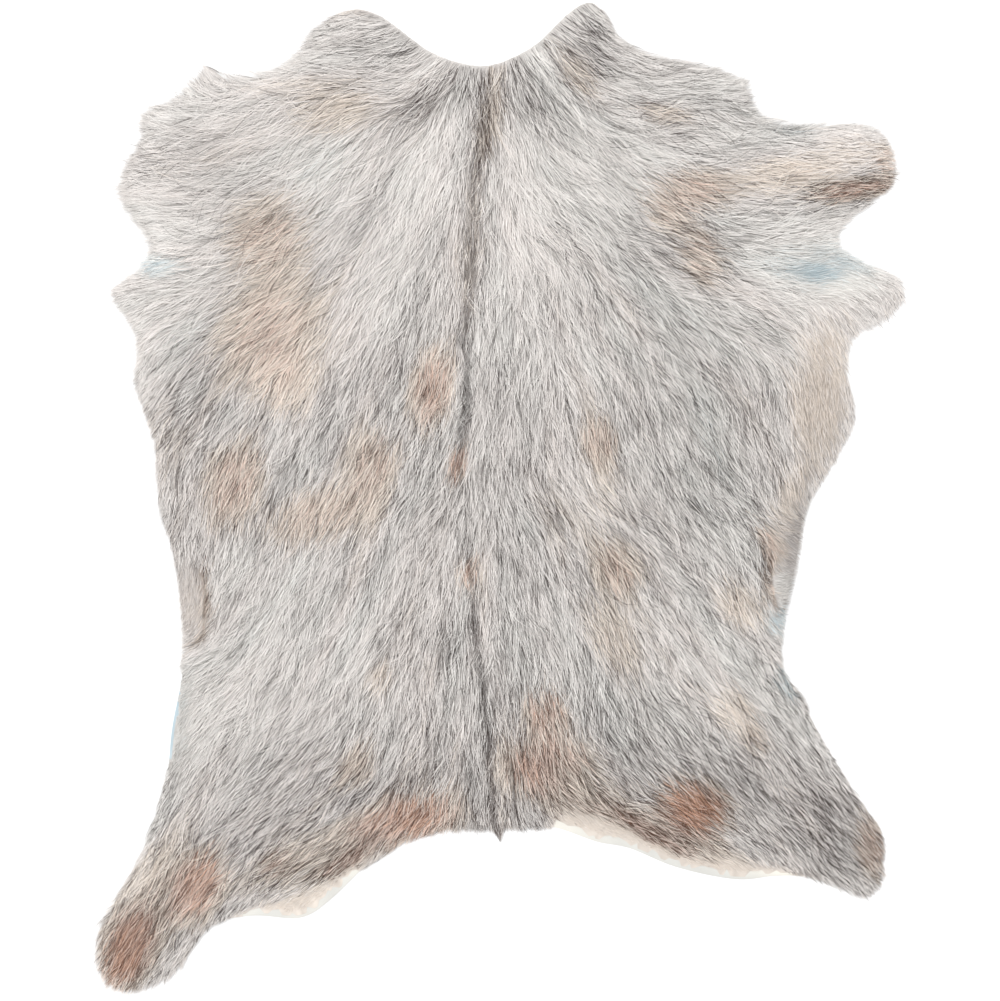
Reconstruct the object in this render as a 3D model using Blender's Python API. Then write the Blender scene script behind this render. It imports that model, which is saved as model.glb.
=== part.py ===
"""A goatskin rug: one whole tanned goat hide with its hair left on, lying flat on a floor.

Metres, +Z up, with +Y towards the neck. The origin is on the floor, under the middle of the hide's box.
"""

import math
import random

import bmesh
import bpy
import numpy as np
from mathutils import Vector, noise
from mathutils.geometry import delaunay_2d_cdt

MM = 0.001

# Driving dimensions
SKIN_THICKNESS = 2.2 * MM  # tanned skin where it is bare
RIM_HEIGHT = 4.0 * MM  # skin and short hair along the cut edge
PILE_HEIGHT = 10.5 * MM  # skin and combed-down hair in the middle of the hide
PILE_RISE = 34 * MM  # how far in from the edge the hair reaches its full depth
LOCK_WIDTH = 14.5 * MM  # spacing of the locks along the edge
LOCK_TIP_HEIGHT = 1.3 * MM
SHORTEST_LOCK = 2.0 * MM
ROOT_SHARE = 0.6  # how much of a lock lies inside the line that its tip reaches
LOCK_VARIES = (0.75, 1.4)  # shortest and longest lock, against its section's length
LOCK_LEAN = 0.7  # how far a lock leans from straight out towards the way the hair lies
LEAST_OUTWARD = 0.55  # a lock that would lean further than this stands straight out
CLUMP_LENGTH = 95 * MM  # one clump of hair, along the way it is combed
CLUMP_WIDTH = 34 * MM
CLUMP_RELIEF = 3.2 * MM
TUFT_RELIEF = 1.2 * MM  # unevenness from one tuft to the next
PILE_STEP = 14.5 * MM  # spacing of the tufts over the top
CURVE_STEP = 2.0 * MM  # spacing of the points that measure the edge's length
LOWEST_PILE = 1.8 * MM
SEED = 7

# The edge of the hide, clockwise from the neck: each section's lock length and the width of bare skin
# behind it, in mm, and the places that it passes through, in mm from the middle of the hide.
EDGE_SECTIONS = (
    # name, lock, bare, (x, y) places
    ("neck cut", 0, 0, ((-120, 484), (-94, 466), (-69, 448), (-16, 434), (35, 455), (58, 477), (76, 493))),
    ("right neck lobe", 3, 0, ((92, 500), (104, 490), (117, 463))),
    ("right shoulder", 9, 0, ((151, 445), (200, 434), (232, 424), (247, 414), (251, 396), (266, 378))),
    ("right foreleg", 6, 0, ((306, 370), (355, 376), (387, 361), (392, 317), (354, 287), (335, 258))),
    ("right elbow", 8, 0, ((361, 241), (394, 224), (405, 213), (403, 200), (386, 184), (351, 161))),
    ("right flank", 3, 0, ((346, 135), (355, 84), (335, 41), (307, -8), (299, -58), (281, -142))),
    ("right thigh", 3, 0, ((281, -168), (297, -191), (330, -252), (361, -301), (383, -337))),
    ("right hind foot", 7, 0, ((384, -362), (381, -385), (364, -398), (332, -384))),
    ("right rump", 0, 12, ((277, -376), (242, -380), (175, -367), (126, -347), (100, -343), (52, -327))),
    ("tail hem", 6, 0, ((24, -328), (-10, -330), (-56, -329), (-84, -338), (-106, -348))),
    ("left rump", 0, 15, ((-124, -355), (-146, -377), (-170, -400), (-197, -418), (-248, -416))),
    ("left hind leg", 6, 0, ((-285, -427), (-303, -444), (-328, -474))),
    ("left hind foot", 9, 0, ((-358, -489), (-385, -489), (-402, -466), (-403, -436))),
    ("left thigh", 3, 0, ((-361, -361), (-337, -290), (-330, -228), (-321, -182), (-317, -138))),
    ("left fold", 2, 0, ((-321, -104), (-322, -68))),
    ("left flank", 5, 0, ((-340, -2), (-343, 52), (-364, 118), (-361, 160))),
    ("left elbow", 8, 0, ((-383, 197), (-388, 210), (-372, 224), (-350, 240), (-348, 258))),
    ("left foreleg", 9, 0, ((-375, 299), (-377, 322), (-367, 343), (-355, 365))),
    ("left shoulder", 10, 0, ((-360, 383), (-327, 398), (-293, 424), (-266, 417), (-207, 439), (-183, 472))),
    ("left neck lobe", 5, 0, ((-148, 491),)),
)

# Grooves (below zero) and rolls (above zero) in the top: height and half width in mm, and their line.
RELIEF_LINES = (
    # name, rise, half width, (x, y) places
    ("spine parting", -3.6, 11, ((-10, 390), (-30, 300), (-32, 120), (-42, 35), (-34, -40), (-3, -325))),
    ("left fold roll", 4.5, 17, ((-318, -62), (-308, -104), (-312, -146))),
    ("left fold crease", -3.0, 8, ((-306, -62), (-290, -93), (-295, -134), (-306, -150))),
    ("right fold roll", 3.5, 15, ((292, 20), (286, -60), (280, -128))),
    ("right fold crease", -3.0, 8, ((270, -20), (265, -60), (268, -104))),
    ("right foreleg rise", 3.0, 26, ((290, 345), (372, 340))),
    ("left hind leg rise", 3.0, 30, ((-300, -350), (-352, -440))),
)

# The way the hair is combed: headings in degrees, counted anticlockwise from +X.
HAIR_LAY = (
    # name, x, y, heading
    ("nape", -10, 410, 270),
    ("left neck lobe", -150, 470, 205),
    ("right neck lobe", 90, 465, 290),
    ("left shoulder", -250, 400, 180),
    ("right shoulder", 215, 415, 355),
    ("left withers", -130, 290, 222),
    ("right withers", 100, 290, 305),
    ("left foreleg", -340, 290, 180),
    ("right foreleg", 340, 340, 358),
    ("left ribs", -210, 90, 232),
    ("right ribs", 200, 90, 292),
    ("left elbow", -350, 200, 185),
    ("right elbow", 370, 210, 350),
    ("left loin", -140, -130, 245),
    ("right loin", 110, -130, 292),
    ("left thigh", -250, -290, 228),
    ("right thigh", 260, -290, 310),
    ("left hind foot", -365, -450, 245),
    ("right hind foot", 360, -370, 310),
    ("tail", -5, -310, 272),
)


def smooth_curve(places, closed):
    """Evenly spaced points, CURVE_STEP apart, on a centripetal Catmull-Rom curve through the places."""
    places = np.asarray(places, float)
    if closed:
        padded = np.vstack((places[-1:], places, places[:2]))
    else:
        padded = np.vstack((2 * places[0] - places[1], places, 2 * places[-1] - places[-2]))
    pieces = []
    for a, b, c, d in zip(padded, padded[1:], padded[2:], padded[3:]):
        knots = np.cumsum([0.0] + [math.sqrt(math.dist(p, q)) for p, q in ((a, b), (b, c), (c, d))])
        t = np.linspace(knots[1], knots[2], max(2, int(math.dist(b, c) / CURVE_STEP)), endpoint=False)[:, None]
        ab = ((knots[1] - t) * a + t * b) / knots[1]
        bc = ((knots[2] - t) * b + (t - knots[1]) * c) / (knots[2] - knots[1])
        cd = ((knots[3] - t) * c + (t - knots[2]) * d) / (knots[3] - knots[2])
        abc = ((knots[2] - t) * ab + t * bc) / knots[2]
        bcd = ((knots[3] - t) * bc + (t - knots[1]) * cd) / (knots[3] - knots[1])
        pieces.append(((knots[2] - t) * abc + (t - knots[1]) * bcd) / (knots[2] - knots[1]))
    return np.vstack(pieces)


def distance_to_line(points, line, closed=False):
    """Each point's distance to a line, and the number of the line's nearest segment."""
    ends = np.roll(line, -1, axis=0) if closed else line[1:]
    starts = line if closed else line[:-1]
    along = ends - starts
    length_squared = (along**2).sum(1)
    nearest = np.full(len(points), np.inf)
    segment = np.zeros(len(points), int)
    for i, (start, way) in enumerate(zip(starts, along)):
        share = np.clip((points - start) @ way / length_squared[i], 0, 1)
        gap = np.linalg.norm(points - start - share[:, None] * way, axis=1)
        closer = gap < nearest
        nearest[closer] = gap[closer]
        segment[closer] = i
    return nearest, segment


def lay_at(points):
    """The unit direction in which the hair lies at each point, blended from the nearest headings."""
    places = np.array([row[1:3] for row in HAIR_LAY]) * MM
    headings = np.radians([row[3] for row in HAIR_LAY])
    gaps = np.linalg.norm(points[:, None] - places, axis=2)
    shares = 1 / (gaps**3 + (5 * MM) ** 3)
    way = shares @ np.stack((np.cos(headings), np.sin(headings)), 1)
    return way / np.linalg.norm(way, axis=1)[:, None]


def hide_edge():
    """Stations one lock apart along the edge: their places, outward normals, lock lengths and bare widths."""
    places, locks, bare = [], [], []
    for _, lock, bare_width, section in EDGE_SECTIONS:
        places += section
        locks += [lock] * len(section)
        bare += [bare_width] * len(section)
    places = np.array(places) * MM
    curve = smooth_curve(places, closed=True)
    steps = np.linalg.norm(np.roll(curve, -1, axis=0) - curve, axis=1)
    travelled = np.concatenate(([0.0], np.cumsum(steps)))
    count = round(travelled[-1] / LOCK_WIDTH)
    at = np.arange(count) * travelled[-1] / count
    looped = np.vstack((curve, curve[:1]))
    stations = np.stack([np.interp(at, travelled, looped[:, axis]) for axis in (0, 1)], 1)
    tangents = np.roll(stations, -1, axis=0) - np.roll(stations, 1, axis=0)
    normals = np.stack((-tangents[:, 1], tangents[:, 0]), 1)
    normals /= np.linalg.norm(normals, axis=1)[:, None]
    place_at = [travelled[np.linalg.norm(curve - place, axis=1).argmin()] for place in places]
    locks = np.interp(at, place_at, locks, period=travelled[-1]) * MM
    bare = np.interp(at, place_at, bare, period=travelled[-1]) * MM
    return stations, normals, locks, bare


def edge_with_locks(stations, normals, locks):
    """The outline with its locks: its corners, and each corner's height."""
    draw = random.Random(SEED)
    roots = stations - normals * ROOT_SHARE * locks[:, None]
    corners, heights = [], []
    for i, root in enumerate(roots):
        following = (i + 1) % len(roots)
        corners.append(root)
        heights.append(RIM_HEIGHT if locks[i] > SHORTEST_LOCK else SKIN_THICKNESS)
        lock = (locks[i] + locks[following]) / 2
        if lock < SHORTEST_LOCK:
            continue
        middle = (root + roots[following]) / 2
        outward = normals[i] + normals[following]
        outward /= np.linalg.norm(outward)
        way = outward + LOCK_LEAN * lay_at(middle[None])[0]
        way /= np.linalg.norm(way)
        if way @ outward < LEAST_OUTWARD:
            way = outward
        corners.append(middle + way * lock * draw.uniform(*LOCK_VARIES))
        heights.append(LOCK_TIP_HEIGHT)
    return np.array(corners), np.array(heights)


def inside(points, outline):
    """Whether each point lies inside the closed outline."""
    crossings = np.zeros(len(points), int)
    for (ax, ay), (bx, by) in zip(outline, np.roll(outline, -1, axis=0)):
        spans = (points[:, 1] < ay) != (points[:, 1] < by)
        if spans.any():
            crossing_x = ax + (points[:, 1] - ay) * (bx - ax) / (by - ay)
            crossings += spans & (points[:, 0] < crossing_x)
    return crossings % 2 == 1


def tuft_points(outline):
    """Where the top has its tufts: rows along each relief line, and a loose grid over the rest."""
    draw = np.random.default_rng(SEED)
    rows = []
    for _, _, half_width, line in RELIEF_LINES:
        curve = smooth_curve(np.array(line) * MM, closed=False)
        across = np.gradient(curve, axis=0)[:, ::-1] * (-1, 1)
        across /= np.linalg.norm(across, axis=1)[:, None]
        spaced = slice(0, None, round(PILE_STEP / CURVE_STEP))
        for side in (-1, 0, 1):
            rows.append((curve + side * half_width * MM * across)[spaced])
    kept = thinned(np.vstack(rows), 0.45 * PILE_STEP)
    low, high = outline.min(0), outline.max(0)
    row_step = PILE_STEP * math.sqrt(3) / 2
    grid = []
    for row, y in enumerate(np.arange(low[1], high[1], row_step)):
        shift = PILE_STEP / 2 if row % 2 else 0.0
        grid += [(x + shift, y) for x in np.arange(low[0], high[0], PILE_STEP)]
    grid = np.array(grid) + draw.uniform(-0.22, 0.22, (len(grid), 2)) * PILE_STEP
    clear = np.linalg.norm(grid[:, None] - kept, axis=2).min(1) > 0.6 * PILE_STEP
    points = np.vstack((kept, grid[clear]))
    points = points[inside(points, outline)]
    return points[distance_to_line(points, outline, closed=True)[0] > 0.4 * PILE_STEP]


def thinned(points, gap):
    """The points, without those nearer than the gap to one that is kept."""
    kept = points[:1]
    for point in points[1:]:
        if np.linalg.norm(kept - point, axis=1).min() >= gap:
            kept = np.vstack((kept, point))
    return kept


def soft_step(share):
    """A smooth rise from 0 to 1 as the share goes from 0 to 1."""
    share = np.clip(share, 0, 1)
    return share * share * (3 - 2 * share)


def pile_heights(points, stations, bare):
    """The height of skin and hair at each point: full in the middle, thin at the edge, bare on the rumps."""
    draw = np.random.default_rng(SEED + 1)
    inward, nearest = distance_to_line(points, stations, closed=True)
    bare_here = bare[nearest]
    cover = soft_step((inward - bare_here) / PILE_RISE)
    skin_only = bare_here > inward
    edge_height = np.where(bare_here > SHORTEST_LOCK, SKIN_THICKNESS, RIM_HEIGHT)
    heights = edge_height + (PILE_HEIGHT - edge_height) * cover
    lay = lay_at(points)
    along = (points * lay).sum(1) / CLUMP_LENGTH
    across = (points[:, 0] * lay[:, 1] - points[:, 1] * lay[:, 0]) / CLUMP_WIDTH
    clumps = np.array([noise.noise(Vector((a, b, 0.5))) for a, b in zip(along, across)])
    tufts = draw.uniform(-1, 1, len(points))
    heights += cover * (CLUMP_RELIEF * clumps + TUFT_RELIEF * tufts)
    for _, rise, half_width, line in RELIEF_LINES:
        curve = smooth_curve(np.array(line) * MM, closed=False)
        gap, _ = distance_to_line(points, curve)
        heights += rise * MM * soft_step(1 - gap / (half_width * MM))
    heights[skin_only] = SKIN_THICKNESS
    return np.maximum(heights, LOWEST_PILE)


def hide_mesh():
    """The hide as one closed mesh: flat below, lumpy with hair above, with locks along its edge."""
    stations, normals, locks, bare = hide_edge()
    outline, edge_heights = edge_with_locks(stations, normals, locks)
    tufts = tuft_points(outline)
    heights = np.concatenate((edge_heights, pile_heights(tufts, stations, bare)))
    flat_points = [Vector(point) for point in np.vstack((outline, tufts))]
    ring = list(range(len(outline)))
    points, _, triangles, sources, _, _ = delaunay_2d_cdt(flat_points, [], [ring], 1, 1e-6)

    bm = bmesh.new()
    underside = [bm.verts.new((point.x, point.y, 0.0)) for point in points]
    for triangle in triangles:
        bm.faces.new([underside[corner] for corner in triangle])
    raised = bmesh.ops.extrude_face_region(bm, geom=list(bm.faces), use_keep_orig=True)
    top = [item for item in raised["geom"] if isinstance(item, bmesh.types.BMVert)]
    height_of = {}
    for vertex, source in zip(underside, sources):
        height_of[tuple(vertex.co.xy)] = float(heights[source[0]])
    for vertex in top:
        vertex.co.z = height_of[tuple(vertex.co.xy)]
    flat_edges = [edge for edge in bm.edges if all(v.co.z == 0.0 for v in edge.verts)]
    flat_vertices = [vertex for vertex in bm.verts if vertex.co.z == 0.0]
    bmesh.ops.dissolve_limit(bm, angle_limit=0.001, verts=flat_vertices, edges=flat_edges)
    bmesh.ops.recalc_face_normals(bm, faces=list(bm.faces))

    mesh = bpy.data.meshes.new("goatskin")
    bm.to_mesh(mesh)
    bm.free()
    return mesh


def centre_over_origin(mesh):
    """Moves the mesh so that the middle of its box is over the origin, and it stands on z = 0."""
    corners = np.array([vertex.co for vertex in mesh.vertices])
    middle = (corners.min(0) + corners.max(0)) / 2
    for vertex in mesh.vertices:
        vertex.co.x -= middle[0]
        vertex.co.y -= middle[1]


def hair_material():
    """Pale grey goat hair with a warm cast."""
    material = bpy.data.materials.new("goat_hair")
    material.use_nodes = True
    shader = material.node_tree.nodes["Principled BSDF"]
    shader.inputs["Base Color"].default_value = (0.55, 0.52, 0.48, 1.0)
    shader.inputs["Roughness"].default_value = 0.85
    shader.inputs["Metallic"].default_value = 0.0
    return material


def make_rug():
    """Empties the scene and builds the rug in a collection of its own."""
    for old in list(bpy.data.objects):
        bpy.data.objects.remove(old)
    collection = bpy.data.collections.new("goatskin_rug")
    bpy.context.scene.collection.children.link(collection)
    mesh = hide_mesh()
    centre_over_origin(mesh)
    mesh.materials.append(hair_material())
    mesh.shade_smooth()
    mesh.set_sharp_from_angle(angle=math.radians(50))
    hide = bpy.data.objects.new("goatskin", mesh)
    collection.objects.link(hide)


make_rug()
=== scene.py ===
import math

import bmesh
import bpy
import numpy as np
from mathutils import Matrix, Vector, noise
from mathutils.bvhtree import BVHTree
from mathutils.geometry import delaunay_2d_cdt
from mathutils.kdtree import KDTree


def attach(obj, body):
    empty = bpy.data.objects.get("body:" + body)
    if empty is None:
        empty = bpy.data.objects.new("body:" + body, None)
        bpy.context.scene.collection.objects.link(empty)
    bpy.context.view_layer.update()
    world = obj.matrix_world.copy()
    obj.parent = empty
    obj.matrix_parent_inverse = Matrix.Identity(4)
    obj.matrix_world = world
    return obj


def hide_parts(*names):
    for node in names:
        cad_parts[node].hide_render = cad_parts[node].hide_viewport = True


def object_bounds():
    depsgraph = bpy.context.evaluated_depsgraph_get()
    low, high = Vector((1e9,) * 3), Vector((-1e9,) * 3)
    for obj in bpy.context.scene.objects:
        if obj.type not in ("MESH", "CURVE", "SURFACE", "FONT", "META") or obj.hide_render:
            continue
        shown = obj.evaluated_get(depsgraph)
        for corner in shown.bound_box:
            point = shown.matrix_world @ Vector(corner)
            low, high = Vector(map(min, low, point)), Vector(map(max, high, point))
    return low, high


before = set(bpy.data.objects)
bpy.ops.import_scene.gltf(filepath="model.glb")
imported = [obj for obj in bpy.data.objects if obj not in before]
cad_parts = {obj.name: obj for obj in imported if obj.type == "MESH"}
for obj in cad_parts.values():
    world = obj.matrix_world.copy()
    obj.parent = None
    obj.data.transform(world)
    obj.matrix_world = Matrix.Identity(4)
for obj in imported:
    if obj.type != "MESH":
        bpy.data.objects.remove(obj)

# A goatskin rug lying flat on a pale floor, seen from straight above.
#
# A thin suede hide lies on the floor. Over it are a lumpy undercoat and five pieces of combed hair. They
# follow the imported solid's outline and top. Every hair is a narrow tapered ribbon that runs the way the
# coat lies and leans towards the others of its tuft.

CAD_LOW, CAD_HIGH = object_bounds()
MM = 0.001
TINY = 1e-5  # metres, within which two places are one
SEED = 20

# The photograph: 1 mm of the hide in each pixel, and the pixel that lies over the model's origin.
PIXEL = 1.0 * MM
ORIGIN_PIXEL = (499.60, 498.58)
PHOTO_CENTRE = (500.0, 500.5)
PHOTO_LONG_SIDE = 1001
CAMERA_HEIGHT = 3.0
CAMERA_FOCUS_HEIGHT = 5 * MM
SENSOR = 36.0

# The hide
HIDE_FLAT = (0.81, 1.0)
HIDE_AREA = 0.555
SKIN = 1.6 * MM
SKIN_STEP = 8.0 * MM
SKIN_EDGE_SHARE = 0.6  # of the skin's thickness is left at its cut edge
SKIN_EDGE_WIDTH = 2 * MM
SKIN_LUMP = 0.12 * MM
SKIN_LUMPS = 40  # in a metre
SKIN_COLOUR = (240, 236, 226)
FACE_ORDER = Vector((1.0, 0.37, 11.0))  # sorts the faces of the hide, which are made in no fixed order
LOCK_ROOT_SHARE = 0.6  # of a lock lies inside the line of the coat's edge
LOCK_TIP_TOP = 1.6 * MM  # a corner of the solid's outline that is lower is a lock's tip
FOLD_REACH = 30 * MM  # past this, a fold's lip is no longer measured
FOLD_FADE = 7 * MM  # over which a fold dies out past its ends
LIP_RISE = 1.5 * MM  # over which the skin rises at a fold's lip
# Painted light at a fold: a painted highlight along the lip and a painted shadow in the crease under it,
# both pulled towards a warmer pigment.
LIP_WIDTH = 1.3 * MM  # the painted highlight along the lip
LIP_HIGHLIGHT = 0.14
CREASE_WIDTH = 2.0 * MM  # the painted shadow in the crease under it
CREASE_SHADOW = -0.36
FOLD_PIGMENT = 0.7

# The undercoat
UNDERCOAT_STEP = 5.5 * MM
UNDERCOAT_SHARE = 0.45  # how much of the coat's depth it fills
UNDERCOAT_RIM = 6 * MM  # over which it rises from the edge, or from a bare place
UNDERCOAT_DARKER = 0.08
UNDERCOAT_SPINE = 0.35  # how much darker it is along the spine

# The hair
HAIRS = 172_000
RIM_WIDTH = 9 * MM  # the rim has twice the hairs
HAIR_MARGIN = 0.2 * MM  # from the skin's edge to the nearest root
BARE_MARGIN = 0.5 * MM  # from a bare place to the nearest root
HAIR_PIECES = 5
GUIDE_GAP = 6.5 * MM  # between the tufts
GUIDE_MARGIN = 4 * MM  # how far past the edge a tuft may start
GUIDE_STEPS = 17
GUIDE_STEP = 4.0 * MM
GUIDE_TURN = math.radians(6)  # from the lay of the coat
GUIDE_BEND = math.radians(2.2)  # at each step
STREAK_STEP = 2.2  # gaps back to the tuft that a tuft shares its streak of light with
BAND_STEP = 12 * MM
BAND_STEPS = 5  # each way
BAND_PIGMENT = 0.045
BAND_SHADE = 0.021
STREAK_SHADE = 0.012
PATCH_VARIES = (0.6, 1.5)  # how strongly single hairs take a patch's colour
HAIR_WIDTH = 0.59 * MM
WIDTH_VARIES = (0.7, 1.2)
DARK_WIDTH = 0.82  # of a dark hair, against the others
HAIR_LENGTH = 34.0 * MM
LENGTH_VARIES = 0.22
LENGTH_LIMITS = (0.45, 1.6)
HAIR_TURN = math.radians(4.6)  # from its tuft's way
LOOSE_SHARE = 0.06  # of the hairs turn further
LOOSE_TURN = 2.4  # times as far
GATHER = (0.1, 0.6)  # of the way to the middle of its tuft, for a tip
BOW = 0.035  # to one side, against the hair's length
OVERHANG = 1.2 * MM  # past the edge, where the rim has no lock
LOCK_REACH = (0.25, 1.0)  # of a lock's length
STRAY_SHARE = 0.07  # of the hairs reach further
STRAY_REACH = (0.2, 1.1)  # more of its length
TRIM_STEPS = 16
BARE_OVERLAP = 2.5 * MM  # how far hair may lie over a bare place
LEAST_LENGTH = 3 * MM
DARK_SHARE = 0.155  # of the hairs where the coat has its usual shade
DARK_GAIN = 1.3  # how fast that share rises as the coat darkens
DARK_LIMITS = (0.04, 0.6)
DARK_DROP = (0.32, 0.70)
PALE_SHARE = 0.30
PALE_RISE = (0.12, 0.28)
SPINE_DROP = (0.3, 0.6)
SPINE_GAIN = 1.2
SPINE_SPREAD = 1.0 * MM
SHADE_FOLLOWS = 0.75  # of a zone's shade goes to every hair; its share of dark hairs does the rest
SHADE_VARIES = 0.05
PIGMENT_VARIES = 0.03
TOP_DEPTHS = (0.8, 1.2)  # of dark and pale hairs in the coat: 0 is its bottom, 1 its top
USUAL_DEPTHS = (0.35, 1.05)
HANGING_DEPTH = 1.6 * MM  # of the coat past the skin's edge
LEAST_PIGMENT = 0.21  # of the coat apart from its patches: cool grey
RUNGS = (0.0, 0.34, 0.68, 1.0)
RUNG_WIDTHS = (0.75, 1.0, 0.72)  # against HAIR_WIDTH; the last rung is a point
RUNG_LIFTS = (0.1, 0.75, 1.0, 1.0)  # against the depth at which the hair lies in the coat
RUNG_SHADES = (-0.10, 0.0, 0.02, 0.05)  # the root is darker than the tip
SEEN_RUNG = 2  # a hair's colour is the coat's at about this rung
LEAST_HEIGHT = 0.7 * MM
LEAST_DEPTH = 0.8 * MM
COAT_LIFT = 0.4 * MM  # of the top hairs over the solid
LEAST_CORNER = 0.2 * MM  # over the floor
FINE_LENGTH = 22 * MM  # shorter hair is finer, and more even in shade
FRINGE_LENGTH = 9 * MM
FRINGE_RIM = 9.0 * MM  # of the skin is bare along a cream fringe
FRINGE_PIGMENT = 0.5
MAP_WIDTH = 0.004  # a hair's width in the map that carries its colour
MAP_LIMITS = (0.002, 0.998)
RIBBON_FACES = (0, 1, 3, 2, 2, 3, 5, 4, 4, 5, 6)  # the corners of its two squares and its point
RIBBON_STARTS = (0, 4, 8)
RIBBON_CORNERS = 7
MIX_A, MIX_B, MIX_RESULT = 6, 7, 2  # the colour sockets of a mix node

# The way the hair lies, in the photograph's pixels. A heading of 0 is to the right, 90 down and 180 left.
LAY_BLEND = 9 * MM  # about how far a place's heading holds before it blends with the others
HAIR_LAY = (
    # part of the coat, (x, y, heading) places
    ("nape", ((484, 80, 90), (482, 120, 84), (430, 75, 136), (385, 82, 172), (350, 22, 166))),
    ("right of the nape", ((540, 80, 58), (575, 30, 37), (530, 130, 66))),
    ("left shoulder", ((335, 75, 186), (275, 75, 178), (225, 125, 158), (275, 125, 150), (330, 115, 148))),
    ("left shoulder edge", ((150, 150, 180), (200, 70, 225))),
    ("left withers", ((400, 150, 124), (425, 190, 108), (350, 200, 130), (285, 240, 148))),
    ("behind the left withers", ((375, 280, 126), (250, 300, 142), (400, 310, 107))),
    ("left foreleg", ((165, 220, 186), (225, 225, 162), (160, 275, 174), (180, 325, 146))),
    ("behind the left foreleg", ((160, 375, 130), (200, 410, 124))),
    ("left ribs", ((300, 400, 114), (350, 500, 119), (240, 510, 104), (178, 500, 104))),
    ("left back", ((430, 430, 109), (420, 520, 117), (425, 590, 102), (370, 625, 117))),
    ("left loin", ((230, 600, 125), (210, 650, 150), (200, 750, 124), (300, 650, 112), (300, 750, 130))),
    ("left rump", ((350, 800, 136), (250, 820, 138), (320, 835, 144), (180, 775, 118), (300, 888, 150))),
    ("left of the tail", ((430, 700, 98), (430, 800, 102), (378, 740, 109), (420, 822, 128))),
    ("left hind leg", ((200, 850, 122), (150, 930, 120), (122, 970, 120))),
    ("left flap", ((190, 570, 95), (195, 600, 90), (192, 622, 112), (187, 640, 165))),
    ("beside the left flap", ((213, 600, 105), (212, 630, 122))),
    ("right flap", ((787, 495, 85), (786, 522, 25), (792, 552, 28), (782, 590, 335))),
    ("beside the right flap", ((764, 562, 82), (766, 596, 72))),
    ("spine", ((472, 180, 98), (470, 300, 92), (462, 440, 102), (470, 535, 99), (480, 680, 88))),
    ("tail", ((520, 750, 86), (496, 815, 92))),
    ("right rump", ((530, 822, 64), (575, 815, 40), (600, 780, 46), (635, 820, 24), (705, 862, 28))),
    ("right thigh", ((750, 700, 50),)),
    ("right hind leg", ((800, 760, 52), (800, 830, 45), (860, 870, 48))),
    ("right loin", ((700, 700, 48), (620, 650, 68), (550, 600, 76), (700, 600, 56), (575, 705, 82))),
    ("right ribs", ((650, 450, 67), (740, 450, 67), (780, 400, 78), (820, 400, 83))),
    ("behind the right ribs", ((530, 525, 67), (575, 520, 58), (625, 525, 50), (725, 525, 50))),
    ("right back", ((524, 385, 96), (570, 440, 82), (625, 425, 78), (575, 370, 64))),
    ("right armpit", ((700, 350, 50), (725, 275, 22), (775, 275, 8), (825, 275, 352))),
    ("right elbow", ((775, 330, 30), (825, 330, 68), (870, 290, 28), (890, 310, 72))),
    ("right foreleg", ((870, 270, 20), (760, 165, 2), (850, 150, 3), (850, 200, 350))),
    ("right foreleg edges", ((775, 122, 352), (825, 226, 342), (775, 222, 355))),
    ("right shoulder", ((622, 76, 20), (675, 78, 354), (680, 122, 358), (728, 118, 25), (720, 80, 350))),
    ("right shoulder tip", ((750, 80, 335),)),
    ("right withers", ((600, 185, 38), (575, 130, 47), (635, 135, 25), (575, 228, 44))),
    ("behind the right withers", ((680, 225, 24), (680, 278, 30), (650, 312, 50), (560, 300, 76))),
)

# Ellipses of the photograph: middle, half length and half width in pixels, and the heading of the length.
# An ellipse has its full strength out to 0.35 of its size, and none from 1.5 on.
ELLIPSE_END = 1.5
ELLIPSE_FADE = 1.15
LENGTH_ZONES = (
    # name, x, y, long, wide, heading, hair length in mm
    ("left shoulder", 230, 150, 150, 120, 0, 50),
    ("right shoulder", 690, 130, 130, 80, 0, 46),
    ("right foreleg", 850, 160, 50, 50, 0, 22),
    ("right armpit", 832, 275, 60, 32, 8, 11),
    ("right flank", 825, 395, 100, 40, 92, 12),
    ("right edge", 790, 560, 110, 22, 100, 13),
    ("left armpit", 145, 272, 40, 16, 0, 14),
    ("left flap", 190, 604, 48, 20, 86, 6),
    ("right flap", 788, 560, 56, 22, 92, 8),
    ("left edge", 180, 720, 90, 16, 95, 12),
    ("left hind foot", 125, 950, 60, 50, 110, 19),
    ("right hind foot", 865, 850, 60, 40, 80, 17),
)
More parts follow.
